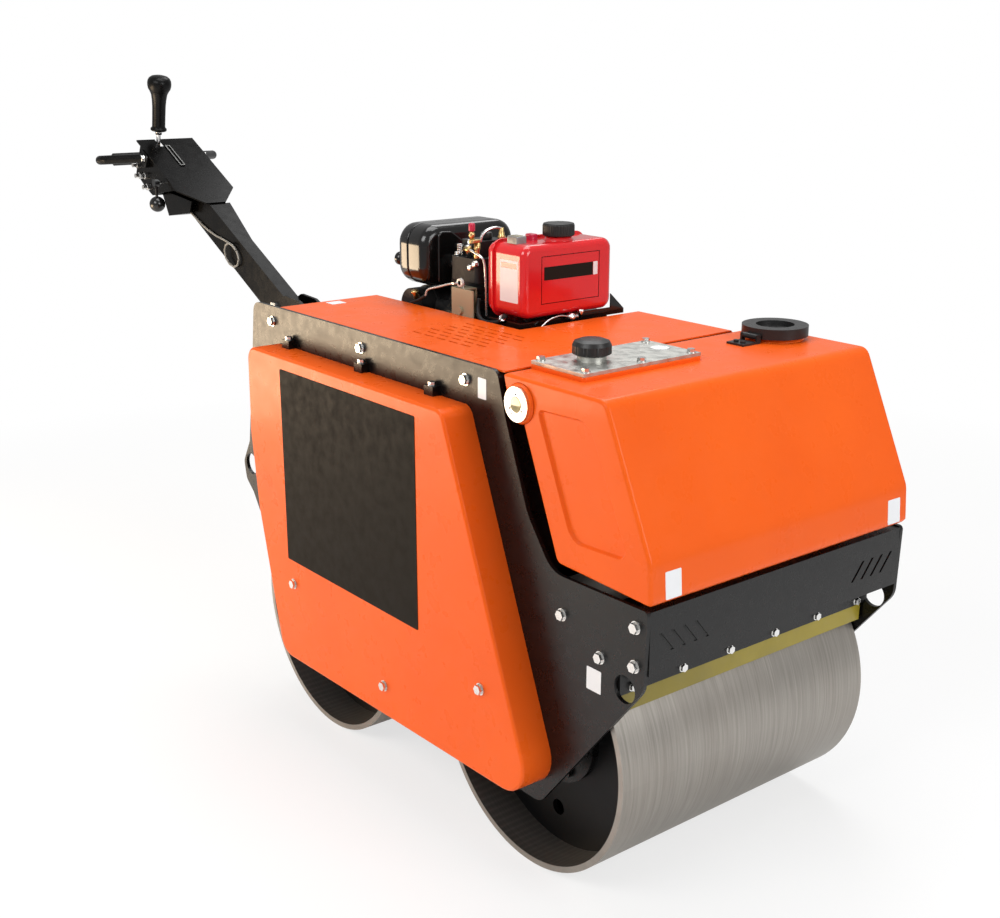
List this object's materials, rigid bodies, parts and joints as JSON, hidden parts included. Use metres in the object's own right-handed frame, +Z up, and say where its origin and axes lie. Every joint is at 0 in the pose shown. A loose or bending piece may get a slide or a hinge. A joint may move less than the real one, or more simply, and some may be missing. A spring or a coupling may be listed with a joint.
{
  "type": "walk behind vibratory roller",
  "caption": "Walk-behind vibratory roller with two steel drums, orange covers and tank, diesel engine, belt cover and a folding handle with travel lever.",
  "frame": {"origin": "centre of the overall footprint, on the ground under the drums", "axes": "+X forward towards the front tank and bumper, -Y towards the side with the belt cover, +Z up"},
  "size_m": [2.5094, 0.758, 1.4108],
  "materials": {
    "frame_black": "satin",
    "orange_sheet": "gloss",
    "panel_black": "satin",
    "zinc_fastener": "satin",
    "alloy_plate": "satin",
    "sight_glass": "gloss",
    "cap_plastic": "matte",
    "scraper_paint": "satin",
    "machine_steel": "satin",
    "drum_steel": "satin",
    "engine_black": "satin",
    "engine_casting": "rough",
    "rubber": "matte",
    "tank_red": "gloss",
    "ball_black": "gloss",
    "lever_red": "gloss",
    "cable_grey": "matte"
  },
  "bodies": {
    "frame": {"side_plate_left": "frame_black", "side_plate_right": "frame_black", "chassis_beams": "frame_black", "front_bumper": "frame_black", "rear_panel": "frame_black", "belt_cover": "orange_sheet", "cover_panel": "panel_black", "frame_bolts": "zinc_fastener", "deck_cover": "orange_sheet", "front_tank": "orange_sheet", "tank_top_plate": "alloy_plate", "sight_glass_ring": "zinc_fastener", "sight_glass_lens": "sight_glass", "cap_strap": "cap_plastic", "scrapers": "scraper_paint", "grease_elbows": "frame_black", "bearing_housings": "frame_black", "drum_bearings": "machine_steel", "drive_chain": "machine_steel", "hydraulic_motor": "engine_black", "exciter_housing": "frame_black", "drive_belts": "rubber", "hydraulic_pump": "alloy_plate", "rubber_buffers": "rubber", "crankcase": "engine_casting", "engine_cylinder": "engine_casting", "blower_housing": "engine_black", "recoil_starter": "engine_black", "muffler": "engine_black", "air_filter": "rubber", "fuel_tank": "tank_red", "speed_bracket": "zinc_fastener", "handle_bracket": "frame_black", "handle_pin": "zinc_fastener"},
    "front_roller": {"front_drum": "drum_steel", "front_axle": "frame_black", "front_sprocket": "machine_steel"},
    "rear_roller": {"rear_drum": "drum_steel", "rear_axle": "frame_black", "rear_sprocket": "machine_steel"},
    "motor_shaft": {"motor_sprocket": "machine_steel"},
    "engine_shaft": {"crankshaft": "machine_steel", "engine_pulley": "machine_steel"},
    "exciter": {"exciter_shaft": "machine_steel"},
    "pump_shaft": {"pump_pulley": "machine_steel"},
    "tank_cap": {"water_cap": "cap_plastic"},
    "breather": {"breather_cap": "cap_plastic"},
    "fuel_filler_cap": {"fuel_cap": "cap_plastic"},
    "decompressor": {"decompression_lever": "lever_red"},
    "throttle": {"speed_lever": "zinc_fastener"},
    "starter_pull": {"recoil_handle": "rubber"},
    "handle": {"handle_arm": "frame_black", "head_plate": "frame_black", "head_housing": "frame_black", "loop_handle": "rubber", "valve_fittings": "zinc_fastener", "control_cable": "cable_grey"},
    "travel_control": {"travel_lever": "zinc_fastener", "lever_grip": "rubber"},
    "vibration_control": {"ball_lever": "ball_black"}
  },
  "joints": [
    {"name": "front_drum_spin", "type": "hinge", "parent": "frame", "child": "front_roller", "pos_m": [0.93271, 0.034, 0.2585], "axis": [0, 1, 0], "continuous": true},
    {"name": "rear_drum_spin", "type": "hinge", "parent": "frame", "child": "rear_roller", "pos_m": [0.23271, 0.034, 0.2585], "axis": [0, 1, 0], "continuous": true},
    {"name": "motor_spin", "type": "hinge", "parent": "frame", "child": "motor_shaft", "pos_m": [0.58271, 0.034, 0.4834], "axis": [0, 1, 0], "continuous": true},
    {"name": "crank_spin", "type": "hinge", "parent": "frame", "child": "engine_shaft", "pos_m": [0.37071, 0.034, 0.795], "axis": [0, 1, 0], "continuous": true},
    {"name": "exciter_spin", "type": "hinge", "parent": "frame", "child": "exciter", "pos_m": [0.58271, 0.034, 0.3287], "axis": [0, 1, 0], "continuous": true},
    {"name": "pump_spin", "type": "hinge", "parent": "frame", "child": "pump_shaft", "pos_m": [0.70301, 0.034, 0.58835], "axis": [0, 1, 0], "continuous": true},
    {"name": "handle_fold", "type": "hinge", "parent": "frame", "child": "handle", "pos_m": [-0.47729, 0.034, 0.823], "axis": [0, 1, 0], "range_deg": [0, 62]},
    {"name": "travel_lever_swing", "type": "hinge", "parent": "handle", "child": "travel_control", "pos_m": [-1.14979, 0.009, 1.16406], "axis": [0, 1, 0], "range_deg": [-18, 18]},
    {"name": "vibration_lever_swing", "type": "hinge", "parent": "handle", "child": "vibration_control", "pos_m": [-1.00118, -0.07, 1.11601], "axis": [0, 1, 0], "range_deg": [0, 40]},
    {"name": "water_cap_hinge", "type": "hinge", "parent": "frame", "child": "tank_cap", "pos_m": [0.97071, 0.226, 0.9523], "axis": [1, 0, 0], "range_deg": [0, 110]},
    {"name": "breather_cap_twist", "type": "hinge", "parent": "frame", "child": "breather", "pos_m": [0.94471, -0.158, 0.97], "axis": [0, 0, 1], "range_deg": [0, 90]},
    {"name": "fuel_cap_twist", "type": "hinge", "parent": "frame", "child": "fuel_filler_cap", "pos_m": [0.54451, 0.10726, 1.1115], "axis": [0, 0, 1], "range_deg": [0, 90]},
    {"name": "decompression_turn", "type": "hinge", "parent": "frame", "child": "decompressor", "pos_m": [0.40621, 0.002, 1.0545], "axis": [0, 0, 1], "range_deg": [0, 70]},
    {"name": "speed_lever_turn", "type": "hinge", "parent": "frame", "child": "throttle", "pos_m": [0.39321, -0.026, 0.9965], "axis": [0, 0, 1], "range_deg": [-25, 25]},
    {"name": "starter_pull_slide", "type": "slide", "parent": "frame", "child": "starter_pull", "axis": [0, 1, 0], "range_m": [0, 0.15]}
  ],
  "couplings": [
    {"joint": "rear_drum_spin", "follows": "front_drum_spin", "ratio": 1},
    {"joint": "motor_spin", "follows": "front_drum_spin", "ratio": 1.8667},
    {"joint": "exciter_spin", "follows": "crank_spin", "ratio": 1},
    {"joint": "pump_spin", "follows": "crank_spin", "ratio": 0.89286}
  ]
}
